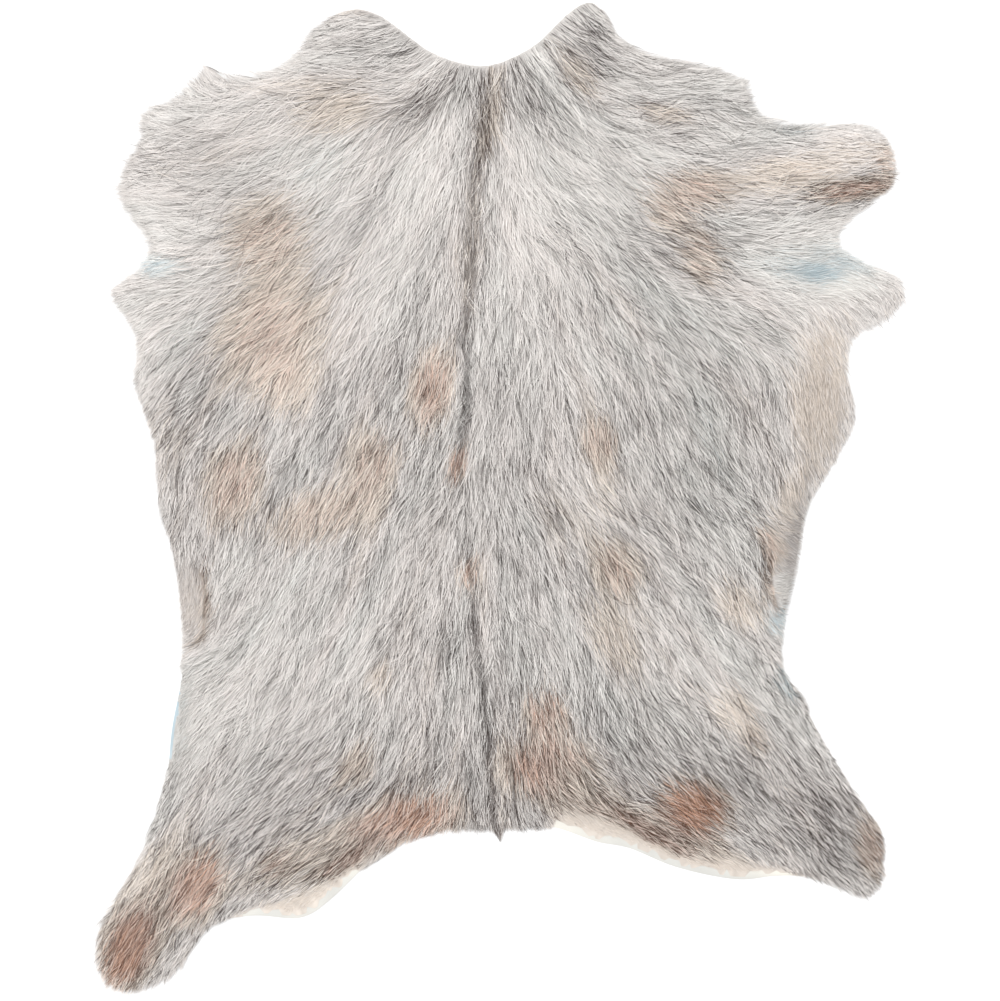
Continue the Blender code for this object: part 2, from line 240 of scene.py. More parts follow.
# Pigments: 0 blue skin, 0.2 cool grey, 0.4 mauve grey, 0.5 cream, 0.6 beige, 0.8 tan, 1 rust.
COLOUR_PATCHES = (
    # name, x, y, long, wide, heading, pigment, strength, shade
    ("hindquarters", 540, 840, 400, 90, 0, 0.48, 0.33, -0.01),
    ("right forequarter", 700, 140, 230, 110, 0, 0.23, 0.45, 0.0),
    ("left blade", 266, 238, 44, 40, 90, 0.80, 0.65, -0.06),
    ("left blade lower", 267, 334, 66, 54, 95, 0.78, 0.65, -0.015),
    ("left blade inner", 286, 386, 30, 26, 100, 0.78, 0.44, 0.065),
    ("left ribs", 233, 486, 44, 32, 98, 0.80, 0.7, -0.05),
    ("left rib middle", 372, 468, 34, 26, 112, 0.80, 0.65, -0.043),
    ("left rib band", 318, 518, 62, 28, 165, 0.76, 0.65, -0.035),
    ("left rim", 163, 440, 60, 26, 82, 0.46, 0.7, 0.01),
    ("beside the spine", 431, 391, 40, 24, 100, 0.85, 0.75, -0.02),
    ("spine spot", 457, 466, 14, 9, 96, 0.86, 0.95, 0.04),
    ("spine speck", 470, 577, 13, 10, 94, 0.85, 0.8, 0.045),
    ("right rib spot", 599, 447, 24, 20, 90, 0.85, 0.6, -0.085),
    ("right rib trail", 600, 488, 34, 16, 85, 0.62, 0.3, 0.025),
    ("right loin spot", 618, 571, 28, 25, 60, 0.82, 0.62, -0.04),
    ("right loin pale", 614, 644, 50, 24, 60, 0.66, 0.6, 0.005),
    ("tail base", 546, 717, 25, 19, 10, 0.88, 0.8, -0.02),
    ("tail base lower", 548, 766, 48, 31, 0, 0.86, 0.8, 0.0),
    ("tail base heart", 536, 776, 22, 16, 20, 0.96, 0.5, -0.06),
    ("right rump brown", 592, 794, 60, 22, 30, 0.6, 0.6, 0.025),
    ("right rump rust", 695, 810, 34, 27, 10, 1.0, 1.0, -0.135),
    ("left rump rust", 402, 822, 58, 22, 170, 0.98, 0.85, 0.01),
    ("left rump tan", 356, 768, 24, 18, 130, 0.74, 0.6, -0.005),
    ("left loin speck", 378, 682, 14, 14, 0, 0.72, 0.5, 0.0),
    ("left thigh rust", 195, 888, 38, 25, 118, 0.93, 0.9, -0.03),
    ("left foot rust", 127, 950, 42, 25, 112, 1.0, 1.0, -0.17),
    ("left foot blush", 150, 915, 74, 40, 118, 0.80, 0.4, -0.035),
    ("left rump blush", 325, 858, 84, 26, 158, 0.72, 0.48, 0.032),
    ("right rump blush", 645, 836, 100, 22, 20, 0.80, 0.55, -0.07),
    ("right rump edge", 655, 836, 48, 10, 37, 0.82, 0.6, -0.175),
    ("left rump edge", 345, 862, 34, 10, 150, 0.8, 0.65, -0.18),
    ("left hock speck", 274, 864, 14, 12, 120, 0.86, 0.55, -0.125),
    ("right loin speck", 741, 608, 28, 22, 60, 0.64, 0.6, 0.03),
    ("right thigh cream", 736, 712, 26, 22, 50, 0.66, 0.54, 0.05),
    ("right thigh brown", 756, 739, 13, 11, 50, 0.84, 0.55, -0.055),
    ("right foot brown", 872, 850, 32, 14, 86, 0.88, 0.65, -0.1),
    ("right blade outer", 672, 210, 28, 24, 90, 0.82, 0.6, -0.055),
    ("right blade", 704, 190, 30, 22, 0, 0.82, 0.65, -0.095),
    ("right blade lower", 703, 256, 30, 20, 80, 0.81, 0.6, -0.13),
    ("right neck tan", 582, 80, 34, 16, 48, 0.68, 0.55, -0.1),
    ("right shoulder tan", 666, 114, 28, 11, 12, 0.68, 0.55, -0.12),
    ("right foreleg tan", 786, 176, 60, 22, 355, 0.72, 0.52, 0.025),
    ("right foreleg cream", 846, 148, 46, 22, 0, 0.5, 0.6, 0.09),
    ("right foreleg brown", 856, 189, 44, 11, 352, 0.88, 0.75, -0.215),
    ("right foreleg tip", 886, 165, 22, 7, 90, 0.86, 0.62, -0.025),
    ("left shoulder tan", 330, 112, 40, 28, 0, 0.70, 0.45, -0.06),
    ("dorsal brown", 490, 122, 44, 13, 98, 0.74, 0.48, -0.17),
    ("dorsal mauve", 472, 250, 90, 9, 94, 0.56, 0.5, 0.0),
    ("right flank beige", 822, 400, 84, 32, 96, 0.54, 0.9, 0.035),
    ("right flap cream", 790, 502, 42, 13, 114, 0.54, 0.85, 0.015),
    ("right flap mauve", 799, 535, 34, 11, 108, 0.42, 0.8, -0.12),
    ("right flap tan", 771, 545, 20, 12, 65, 0.78, 0.7, -0.05),
    # Brown hair with painted shadow in the crease of the right fold.
    ("right flap brown and crease shadow", 766, 586, 22, 4, 92, 0.80, 0.5, -0.185),
    ("right flap white", 781, 588, 17, 8, 82, 0.24, 0.8, 0.11),
    ("left flap beige", 191, 604, 46, 16, 86, 0.44, 0.7, -0.04),
    ("right armpit white", 830, 266, 64, 40, 0, 0.12, 0.65, 0.162),
    ("right armpit teal", 818, 272, 24, 9, 2, 0.0, 0.9, -0.14),
    ("right armpit blue", 850, 262, 26, 8, 20, 0.08, 0.7, -0.12),
    ("right notch blue", 793, 130, 20, 6, 6, 0.12, 0.7, -0.155),
    ("left armpit blue", 155, 266, 24, 12, 10, 0.06, 0.85, 0.06),
    ("right rim blue", 779, 621, 17, 9, 95, 0.06, 1.0, 0.07),
    ("right rim blue lower", 788, 686, 16, 9, 80, 0.06, 0.85, -0.155),
    ("left rim blue", 181, 716, 44, 9, 96, 0.12, 0.6, 0.005),
)
SHADE_ZONES = (
    # name, x, y, long, wide, heading, shade
    ("forequarters", 470, 180, 420, 190, 0, 0.06),
    ("hindquarters", 560, 800, 340, 100, 0, -0.1),
    ("left foreleg", 148, 250, 100, 56, 90, 0.11),
    ("left shoulder", 270, 120, 130, 70, 160, 0.06),
    ("left loin", 245, 670, 120, 80, 120, 0.095),
    ("left ribs", 350, 560, 110, 90, 100, 0.04),
    ("left of the tail", 400, 725, 90, 60, 0, 0.075),
    ("right ribs", 690, 480, 160, 90, 75, -0.03),
    ("right loin", 690, 645, 90, 56, 40, 0.04),
    ("right elbow", 850, 318, 56, 34, 150, 0.093),
    ("right armpit", 830, 262, 70, 44, 0, 0.095),
    ("right thigh", 845, 835, 70, 44, 60, -0.125),
    ("right shank", 838, 762, 50, 36, 55, 0.045),
    ("nape", 490, 64, 80, 30, 0, 0.0),
    ("left of the nape", 432, 104, 58, 18, 155, -0.14),
    ("right of the nape", 536, 100, 44, 17, 60, -0.18),
    ("right neck lobe", 600, 50, 34, 20, 60, -0.162),
    ("left white", 418, 190, 70, 26, 105, 0.19),
    ("right white", 522, 210, 80, 30, 85, 0.15),
    ("right shoulder white", 600, 185, 60, 26, 20, 0.01),
    ("left shoulder white", 335, 168, 60, 34, 150, 0.125),
    ("left blade white", 366, 306, 66, 34, 120, 0.12),
    ("back pale", 560, 430, 80, 50, 80, 0.005),
    ("loin grey", 545, 550, 60, 46, 80, -0.03),
    # The rib crease zones are painted shadow along a crease across the ribs.
    ("rib crease shadow", 702, 511, 26, 4, 24, -0.43),
    ("rib crease shadow inner", 548, 513, 20, 9, 0, -0.12),
    ("hind grey left", 300, 872, 70, 22, 160, -0.07),
    ("hind grey right", 596, 792, 60, 24, 30, -0.03),
    ("left foreleg grey", 160, 160, 60, 34, 0, -0.08),
    ("right flank", 640, 255, 60, 40, 40, -0.08),
    ("right rump pale", 740, 800, 60, 30, 40, -0.035),
    ("left rib grey", 130, 345, 50, 30, 90, 0.07),
    ("left edge grey", 174, 530, 46, 14, 80, -0.065),
    ("right foreleg root", 748, 190, 46, 66, 0, 0.01),
    ("beside the spine grey", 452, 650, 30, 24, 90, -0.085),
    ("right of the tail", 532, 812, 40, 14, 0, -0.015),
    ("right flank lower", 815, 452, 34, 20, 100, -0.04),
)

# The dark line down the back, from the nape to the tail.
SPINE = (
    # x, y, half width, darkness
    (490, 100, 9, 0.3), (483, 150, 9, 0.45), (473, 195, 8, 0.55), (472, 250, 8, 0.6),
    (470, 300, 7, 0.65), (463, 339, 5, 0.7), (468, 363, 4, 0.9), (466, 402, 4, 1.0),
    (463, 440, 4, 1.0), (457, 464, 4, 0.9), (462, 486, 3, 0.45), (466, 525, 2, 0.4),
    (469, 555, 2.5, 0.85), (473, 600, 2.5, 0.95), (476, 645, 3, 1.0), (481, 673, 3, 1.05),
    (486, 715, 2.5, 1.0), (490, 760, 2.5, 0.95), (493, 811, 3, 1.05), (498, 836, 3, 1.2),
)

# Where the hide's own edge is folded over: the lip, with its raised side on the left of the run.
FOLDS = (
    # name, rise and width in mm, (x, y) places
    ("left flap", 4.0, 28, (
        (193, 643), (202, 638), (205, 630), (205, 612), (207, 592), (204, 580), (199, 570))),
    ("right flap", 2.5, 24, ((770, 556), (771, 568), (771, 584), (774, 598), (778, 608))),
)

# Places with short cream hair, and places with none, as corners in the photograph's pixels.
CREAM_FRINGES = (
    # name, shade, corners
    ("right rump", 0.74, (
        (556, 818), (588, 812), (619, 822), (647, 841), (681, 856), (712, 861), (744, 861),
        (777, 867), (801, 876), (812, 900), (700, 905), (600, 880), (545, 835))),
    ("left rump", 0.81, (
        (205, 934), (231, 917), (262, 905), (300, 893), (336, 880), (356, 866), (374, 878),
        (310, 935), (235, 940))),
)
BARE_SKIN = (
    # name, corners
    ("left thigh strip", ((184, 672), (181, 700), (177, 735), (173, 762), (160, 765), (165, 680))),
    ("right thigh strip", ((806, 712), (822, 735), (838, 758), (850, 778), (862, 775), (830, 715))),
)
SKIN_PATCHES = (
    # name, x, y, long, wide, heading, colour
    ("left thigh strip", 174, 720, 60, 20, 95, (186, 202, 210)),
    ("left armpit", 150, 270, 34, 16, 10, (196, 210, 218)),
    ("right armpit", 836, 268, 40, 16, 12, (150, 178, 188)),
    ("right notch", 792, 128, 30, 10, 6, (98, 110, 120)),
    ("right rim", 780, 640, 70, 16, 95, (190, 204, 210)),
    ("right thigh strip", 832, 750, 40, 20, 60, (232, 216, 212)),
    ("left rump", 300, 900, 70, 20, 160, (217, 216, 211)),
    ("right rump", 690, 868, 130, 22, 20, (214, 213, 208)),
)
WISPS = (
    # name, x, y, heading, length in mm, spread, hairs
    ("right shoulder tip", 735, 86, 338, 18, 7, 70),
    ("left shoulder tip", 217, 79, 224, 23, 8, 80),
    ("left foreleg tip", 137, 178, 186, 18, 7, 60),
    ("left foreleg lower tip", 134, 192, 177, 19, 7, 60),
    ("left elbow tip", 129, 290, 181, 20, 8, 70),
    ("tail tip", 497, 817, 83, 27, 9, 150),
)

# Each pigment's darkest and lightest hair, as the photograph's colours.
PIGMENTS = (
    # name, place in the map, darkest, lightest
    ("blue skin", 0.0, (64, 82, 90), (214, 228, 233)),
    ("cool grey", 0.2, (62, 57, 53), (247, 245, 241)),
    ("mauve grey", 0.4, (68, 56, 53), (250, 244, 240)),
    ("cream", 0.5, (76, 61, 53), (252, 242, 231)),
    ("beige", 0.6, (84, 66, 55), (252, 240, 228)),
    ("tan", 0.8, (90, 61, 48), (250, 226, 213)),
    ("rust", 1.0, (84, 46, 32), (246, 194, 162)),
)
GREY = 0.33
COAT_SHADE = 0.662


def on_rug(pixels):
    """Places on the rug, in metres, for (x, y) pixels of the photograph."""
    return (np.asarray(pixels, float) - ORIGIN_PIXEL) * (PIXEL, -PIXEL)


def from_heading(degrees):
    """The unit direction on the rug of a heading in the photograph, in which y runs down."""
    turn = np.radians(degrees)
    return np.stack((np.cos(turn), -np.sin(turn)), -1)


def unit(ways):
    """Each flat direction at a length of 1."""
    return ways / np.linalg.norm(ways, axis=1)[:, None]


def left_of(ways):
    """Each flat direction, turned a quarter to the left."""
    return np.stack((-ways[:, 1], ways[:, 0]), 1)


def linear(colour):
    """A colour of 0 to 255 as the picture shows it, as the linear one that a shader takes."""
    share = np.asarray(colour, float) / 255
    return np.where(share <= 0.04045, share / 12.92, ((share + 0.055) / 1.055) ** 2.4)


def soft_step(share):
    """A smooth rise from 0 to 1 as the share goes from 0 to 1."""
    share = np.clip(share, 0, 1)
    return share * share * (3 - 2 * share)


def ellipse_share(places, x, y, long, wide, heading):
    """How far each place is inside an ellipse of the photograph: 1 about its middle, 0 past its edge."""
    gap = places - on_rug((x, y))
    way = from_heading(heading)
    along = gap @ way / (long * PIXEL)
    across = (gap[:, 0] * way[1] - gap[:, 1] * way[0]) / (wide * PIXEL)
    return soft_step((ELLIPSE_END - np.hypot(along, across)) / ELLIPSE_FADE)


def inside(places, corners):
    """Whether each place lies inside the closed outline."""
    crossings = np.zeros(len(places), int)
    for (ax, ay), (bx, by) in zip(corners, np.roll(corners, -1, axis=0)):
        spans = (places[:, 1] < ay) != (places[:, 1] < by)
        if spans.any():
            crossings += spans & (places[:, 0] < ax + (places[:, 1] - ay) * (bx - ax) / (by - ay))
    return crossings % 2 == 1


def tree_of(places):
    """A tree that finds the nearest of these flat places."""
    tree = KDTree(len(places))
    for number, (x, y) in enumerate(places.tolist()):
        tree.insert((x, y, 0.0), number)
    tree.balance()
    return tree


def nearest(tree, places):
    """The number of each place's nearest place in the tree, and how far it is."""
    found = [tree.find((x, y, 0.0))[1:] for x, y in places.tolist()]
    return np.array([number for number, _ in found]), np.array([gap for _, gap in found])


def beside(places, line):
    """Each place's distance from a line, above zero on its left, and how far the place is past its ends."""
    least = np.full(len(places), np.inf)
    side, past = np.zeros(len(places)), np.zeros(len(places))
    for number, (a, b) in enumerate(zip(line, line[1:])):
        length = np.linalg.norm(b - a)
        way = (b - a) / length
        along = (places - a) @ way
        offset = places - a - np.clip(along, 0, length)[:, None] * way
        gap = np.linalg.norm(offset, axis=1)
        closer = gap < least
        least[closer] = gap[closer]
        side[closer] = np.sign(way[0] * offset[:, 1] - way[1] * offset[:, 0])[closer]
        before = -along if number == 0 else np.zeros(len(places))
        after = along - length if number == len(line) - 2 else np.zeros(len(places))
        past[closer] = np.maximum(np.maximum(before, after), 0)[closer]
    return least * side, past


class Grid:
    """A square grid over the rug, whose values are read between its points by blending the four around."""

    def __init__(self, step, margin=30 * MM):
        self.step = step
        self.low = np.array(CAD_LOW[:2]) - margin
        self.columns, self.rows = (int(n) for n in (np.array(CAD_HIGH[:2]) + margin - self.low) / step + 2)
        rows, columns = np.mgrid[: self.rows, : self.columns]
        self.points = self.low + np.stack((columns, rows), -1).reshape(-1, 2) * step

    def read(self, values, places):
        at = (places - self.low) / self.step
        column = np.clip(at[:, 0].astype(int), 0, self.columns - 2)
        row = np.clip(at[:, 1].astype(int), 0, self.rows - 2)
        right = np.clip(at[:, 0] - column, 0, 1)
        up = np.clip(at[:, 1] - row, 0, 1)
        if values.ndim == 2:
            right, up = right[:, None], up[:, None]
        first = row * self.columns + column
        below = values[first] * (1 - right) + values[first + 1] * right
        above = values[first + self.columns] * (1 - right) + values[first + self.columns + 1] * right
        return below * (1 - up) + above * up

    def blurred(self, values, passes):
        flat = values.reshape(self.rows, self.columns)
        for _ in range(passes):
            for axis in (0, 1):
                flat = (np.roll(flat, 1, axis) + 2 * flat + np.roll(flat, -1, axis)) / 4
        return flat.ravel()


FINE = Grid(2.0 * MM)
COARSE = Grid(6.0 * MM)


def lay_over(grid):
    """The unit direction in which the hair lies at each point of a grid."""
    rows = np.array([place for _, places in HAIR_LAY for place in places], float)
    gaps = np.linalg.norm(grid.points[:, None] - on_rug(rows[:, :2]), axis=2)
    shares = 1 / (gaps**3 + LAY_BLEND**3)
    return unit(shares @ from_heading(rows[:, 2]))


LAY = lay_over(COARSE)


def lay_at(places):
    """The unit direction in which the hair lies at each place."""
    return unit(COARSE.read(LAY, places))


def welded_solid():
    """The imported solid, with the corners that its faces share joined."""
    bm = bmesh.new()
    bm.from_mesh(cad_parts["goatskin"].data)
    bmesh.ops.remove_doubles(bm, verts=bm.verts, dist=1e-6)
    return bm


def solid_outline(bm):
    """The solid's outline in order, and the height of its top over each corner."""
    floor_edges = [edge for edge in bm.edges if all(abs(end.co.z) < TINY for end in edge.verts)]
    joined = {}
    for edge in floor_edges:
        if any(face.normal.z > -0.9 for face in edge.link_faces):  # it doesn't look down, so it is a side
            a, b = edge.verts
            joined.setdefault(a, []).append(b)
            joined.setdefault(b, []).append(a)
    first = next(iter(joined))
    loop = [first, joined[first][0]]
    while loop[-1] is not first:
        a, b = joined[loop[-1]]
        loop.append(b if a is loop[-2] else a)
    loop.pop()
    tops = []
    for corner in loop:
        ends = [edge.other_vert(corner).co for edge in corner.link_edges]
        tops.append(max(end.z for end in ends if (end.xy - corner.co.xy).length < TINY))
    corners = np.array([corner.co.xy for corner in loop])
    ahead = np.roll(corners, -1, axis=0)
    if (corners[:, 0] * ahead[:, 1] - corners[:, 1] * ahead[:, 0]).sum() < 0:
        corners, tops = corners[::-1], tops[::-1]
    return corners, np.array(tops)


def skin_edge(corners, tops):
    """The skin's cut edge, which is the outline without its locks, and how long the locks are there."""
    is_tip = tops < LOCK_TIP_TOP
    before, after = np.roll(corners, 1, axis=0), np.roll(corners, -1, axis=0)
    lock = np.where(is_tip, np.linalg.norm(corners - (before + after) / 2, axis=1), 0)
    lock = np.maximum(np.roll(lock, 1), np.roll(lock, -1))
    edge, lock = corners[~is_tip], lock[~is_tip]
    lock = (np.roll(lock, 1) + lock + np.roll(lock, -1)) / 3
    outwards = -unit(left_of(np.roll(edge, -1, axis=0) - np.roll(edge, 1, axis=0)))
    # Where the hair lies inwards, the locks' roots are at their outer ends, so the skin reaches under them.
    inflow = soft_step(0.7 - 1.4 * (outwards * lay_at(edge)).sum(1))[:, None]
    edge = edge + outwards * LOCK_ROOT_SHARE * lock[:, None] * inflow
    for _ in range(2):  # cuts each corner off at a quarter of its sides
        ahead, lock_ahead = np.roll(edge, -1, axis=0), np.roll(lock, -1)
        edge = np.stack((0.75 * edge + 0.25 * ahead, 0.25 * edge + 0.75 * ahead), 1).reshape(-1, 2)
        lock = np.stack((lock, lock_ahead), 1).ravel()
    return edge, lock


def densely(line, values):
    """A closed line's points and values, at about every millimetre."""
    gaps = np.linalg.norm(np.roll(line, -1, axis=0) - line, axis=1)
    travelled = np.concatenate(([0], np.cumsum(gaps)))
    at = np.arange(0, travelled[-1], MM)
    closed = np.vstack((line, line[:1]))
    points = np.stack([np.interp(at, travelled, closed[:, axis]) for axis in (0, 1)], 1)
    return points, np.interp(at, travelled, np.append(values, values[0]))


def measured_folds():
    """Over the fine grid: how far each place is inside a fold's lip, the fold's share and its rise."""
    lip_gap = np.full(len(FINE.points), -FOLD_REACH)
    share, rise = np.zeros(len(FINE.points)), np.zeros(len(FINE.points))
    for _, height, width, lip in FOLDS:
        gap, past = beside(FINE.points, on_rug(lip))
        near = abs(gap) < FOLD_REACH
        lip_gap[near] = gap[near]
        share[near] = soft_step(1 - past / FOLD_FADE)[near]
        slope = soft_step(gap / LIP_RISE) * soft_step(1.2 - gap / (width * MM))
        rise[near] = (height * MM * slope)[near] * share[near]
    return lip_gap, share, rise


def measured_hide():
    """Everything about the hide that the hair and skin are laid on, read over the fine grid."""
    solid = welded_solid()
    tree = BVHTree.FromBMesh(solid)
    down = Vector((0, 0, -1))
    tops = []
    for x, y in FINE.points.tolist():
        hit = tree.ray_cast(Vector((x, y, 0.1)), down)[0]
        tops.append(hit.z if hit else 0.0)
    edge, lock = skin_edge(*solid_outline(solid))
    solid.free()
    samples, sample_lock = densely(edge, lock)
    number, gap = nearest(tree_of(samples), FINE.points)
    inward = np.where(inside(FINE.points, edge), gap, -gap)
    fringe_shade = np.zeros(len(FINE.points))
    for _, shade, corners in CREAM_FRINGES:
        fringe_shade[inside(FINE.points, on_rug(corners))] = shade
    fringed = fringe_shade > 0
    bare = fringed & (inward < FRINGE_RIM)
    for _, corners in BARE_SKIN:
        bare |= inside(FINE.points, on_rug(corners))
    bare_gap = nearest(tree_of(FINE.points[bare]), FINE.points)[1]
    lip_gap, lip_share, rise = measured_folds()
    return {
        "edge": edge,
        "inward": FINE.blurred(inward, 1),
        "lock": FINE.blurred(sample_lock[number], 3),
        "pile": FINE.blurred(np.array(tops), 2) + rise,
        "lip_gap": lip_gap,
        "lip_share": lip_share,
        "from_bare": np.where(bare, 0, bare_gap),
        "fringe": FINE.blurred(fringed.astype(float), 2),
        "fringe_shade": FINE.blurred(fringe_shade, 2),
    }


HIDE = measured_hide()


def hide_at(measure, places):
    """One of the hide's measures at each place."""
    return FINE.read(HIDE[measure], places)


def turned(ways, angles):
    """Each flat direction turned by an angle."""
    cos, sin = np.cos(angles), np.sin(angles)
    return np.stack((ways[:, 0] * cos - ways[:, 1] * sin, ways[:, 0] * sin + ways[:, 1] * cos), 1)


def under_height(places):
    """The top of the undercoat, which is the skin where there is no hair."""
    pile = hide_at("pile", places)
    covered = soft_step(hide_at("from_bare", places) / UNDERCOAT_RIM)
    rim = soft_step(hide_at("inward", places) / UNDERCOAT_RIM)
    return SKIN + 0.1 * MM + np.maximum(pile - SKIN, 0) * UNDERCOAT_SHARE * covered * rim


def spread_points(step, margin, draw):
    """Loosely even places, a step apart, on the hide and up to the margin inside its edge."""
    room = 0.1  # so that the grid reaches past the hide all round
    width, length = HIDE_FLAT[0] + room, HIDE_FLAT[1] + room
    rows, columns = np.mgrid[: int(length / step), : int(width / step)]
    places = (np.stack((columns, rows), -1).reshape(-1, 2) + 0.5) * step - (width / 2, length / 2)
    places += draw.uniform(-0.5, 0.5, places.shape) * step
    return places[hide_at("inward", places) > margin]


def make_bands(draw):
    """Values of about -2 to 2 over the coarse grid, in long soft bands that run the way the hair lies."""
    values = COARSE.blurred(draw.normal(size=len(COARSE.points)), 2)
    total = values.copy()
    for sign in (-1, 1):
        places = COARSE.points
        for _ in range(BAND_STEPS):
            places = places + sign * lay_at(places) * BAND_STEP
            total += COARSE.read(values, places)
    return total / total.std()


SHADE_BANDS = make_bands(np.random.default_rng(SEED + 4))
PIGMENT_BANDS = make_bands(np.random.default_rng(SEED + 5))


def coat_look(places, streak, draw):
    """Each place's pigment and shade, from 0 to 1, for hair whose own streak of light or dark is given."""
    pigment = np.maximum(GREY + BAND_PIGMENT * COARSE.read(PIGMENT_BANDS, places), LEAST_PIGMENT)
    shade = COAT_SHADE + STREAK_SHADE * streak + BAND_SHADE * COARSE.read(SHADE_BANDS, places)
    for _, *ellipse, rise in SHADE_ZONES:
        shade += rise * ellipse_share(places, *ellipse)
    taken = draw.uniform(*PATCH_VARIES, len(places))
    for _, x, y, long, wide, heading, own, strength, rise in COLOUR_PATCHES:
        share = ellipse_share(places, x, y, long, wide, heading)
        pigment += (own - pigment) * np.minimum(strength * share * taken, 1)
        shade += rise * np.sqrt(share)
    # A fold's lip gets a painted highlight and the crease under it a painted shadow, both pulled towards a
    # warmer pigment.
    gap = hide_at("lip_gap", places)
    folded = hide_at("lip_share", places)
    lip = folded * np.exp(-(((gap - LIP_WIDTH) / LIP_WIDTH) ** 2))
    crease_shadow = folded * np.exp(-(((gap + CREASE_WIDTH) / CREASE_WIDTH) ** 2))
    pigment += (FOLD_PIGMENT - pigment) * np.maximum(lip, crease_shadow)
    shade += LIP_HIGHLIGHT * lip + CREASE_SHADOW * crease_shadow
    fringe = hide_at("fringe", places)
    pigment += (FRINGE_PIGMENT - pigment) * fringe
    shade += hide_at("fringe_shade", places) - shade * fringe
    return pigment, shade


def spine_darkness(places):
    """How dark the line down the back is at each place."""
    rows = np.array(SPINE, float)
    line = on_rug(rows[:, :2])
    darkness = np.zeros(len(places))
    for a, b, (wide_a, dark_a), (wide_b, dark_b) in zip(line, line[1:], rows[:, 2:], rows[1:, 2:]):
        way = b - a
        share = np.clip((places - a) @ way / (way @ way), 0, 1)
        gap = np.linalg.norm(places - a - share[:, None] * way, axis=1)
        wide = (wide_a + (wide_b - wide_a) * share) * PIXEL
        darkness = np.maximum(darkness, (dark_a + (dark_b - dark_a) * share) * np.exp(-((gap / wide) ** 2)))
    return darkness


def hair_length_at(places):
    """The usual length of the hair at each place."""
    length = np.full(len(places), HAIR_LENGTH)
    for _, *ellipse, own in LENGTH_ZONES:
        length += (own * MM - length) * ellipse_share(places, *ellipse)
    return length + (FRINGE_LENGTH - length) * hide_at("fringe", places)


def make_guides(draw):
    """The tufts that the hairs gather in: a tree of their roots, the roots, their paths and streaks."""
    roots = spread_points(GUIDE_GAP, -GUIDE_MARGIN, draw)
    tree = tree_of(roots)
    upstream = nearest(tree, roots - lay_at(roots) * STREAK_STEP * GUIDE_GAP)[0]
    streak = draw.normal(size=len(roots))
    for _ in range(3):
        streak = 0.5 * (streak + streak[upstream])
    streak /= streak.std()
    turn = draw.normal(0, GUIDE_TURN, len(roots))
    bend = draw.normal(0, GUIDE_BEND, len(roots))
    path = [roots]
    for step in range(GUIDE_STEPS):
        way = turned(lay_at(path[-1]), turn + bend * step)
        path.append(path[-1] + way * GUIDE_STEP)
    return tree, roots, np.array(path) - roots, streak


GUIDE_TREE, GUIDE_ROOTS, GUIDE_PATHS, GUIDE_STREAKS = make_guides(np.random.default_rng(SEED))


def gone_along(guide, travelled):
    """How far a guide's path has gone from its root after the given length."""
    at = np.clip(travelled / GUIDE_STEP, 0, GUIDE_STEPS - 1e-6)
    step = at.astype(int)
    share = (at - step)[:, None]
    return GUIDE_PATHS[step, guide] * (1 - share) + GUIDE_PATHS[step + 1, guide] * share


def trimmed(roots, guide, length, turn, draw):
    """The hairs' lengths, cut so that none hangs far past the edge or crosses the lip of a fold."""
    lock = hide_at("lock", roots)
    reach = draw.uniform(*LOCK_REACH, len(roots))
    stray = draw.random(len(roots)) < STRAY_SHARE
    reach[stray] += draw.uniform(*STRAY_REACH, stray.sum())
    overhang = OVERHANG + lock * reach
    raised = hide_at("lip_gap", roots) > 0
    kept = length.copy()
    for share in np.arange(1, TRIM_STEPS + 1) / TRIM_STEPS:
        place = roots + turned(gone_along(guide, length * share), turn)
        stopped = hide_at("inward", place) < -overhang
        crosses = (hide_at("lip_gap", place) > 0) != raised
        stopped |= crosses & (hide_at("lip_share", place) > 0.5)
        out = stopped & (kept > length * share)
        kept[out] = (length * (share - 0.03))[out]
    clear = BARE_OVERLAP + 0.9 * hide_at("from_bare", roots)
    return np.minimum(kept, np.maximum(clear, LEAST_LENGTH))


def combed(roots, guide, draw):
    """The flat places of each hair, rung by rung, along the path of its tuft."""
    count = len(roots)
    turn = draw.normal(0, HAIR_TURN, count)
    loose = draw.random(count) < LOOSE_SHARE
    turn[loose] *= LOOSE_TURN
    varies = np.clip(draw.normal(1, LENGTH_VARIES, count), *LENGTH_LIMITS)
    length = trimmed(roots, guide, hair_length_at(roots) * varies, turn, draw)
    gather = draw.uniform(*GATHER, count) * np.clip(length / FINE_LENGTH, 0.2, 1)
    flat = []
    for share in RUNGS:
        gone = turned(gone_along(guide, length * share), turn)
        towards = (GUIDE_ROOTS[guide] - roots) * (gather * share**1.5)[:, None]
        flat.append(roots + gone + towards)
    return np.array(flat)


def raised_over(flat, depth):
    """The hairs' places with their heights, from the undercoat up to where each lies in the coat."""
    rungs = []
    for places, lift in zip(flat, RUNG_LIFTS):
        low = under_height(places)
        high = np.maximum(hide_at("pile", places) + COAT_LIFT, LEAST_HEIGHT + LEAST_DEPTH)
        height = low * (1 - lift) + (low + (high - low) * depth) * lift
        outside = hide_at("inward", places) < 0
        hanging = LEAST_HEIGHT + depth * HANGING_DEPTH
        height = np.where(outside, np.minimum(height, hanging), height)
        rungs.append(np.column_stack((places, np.maximum(height, LEAST_HEIGHT))))
    return np.array(rungs)


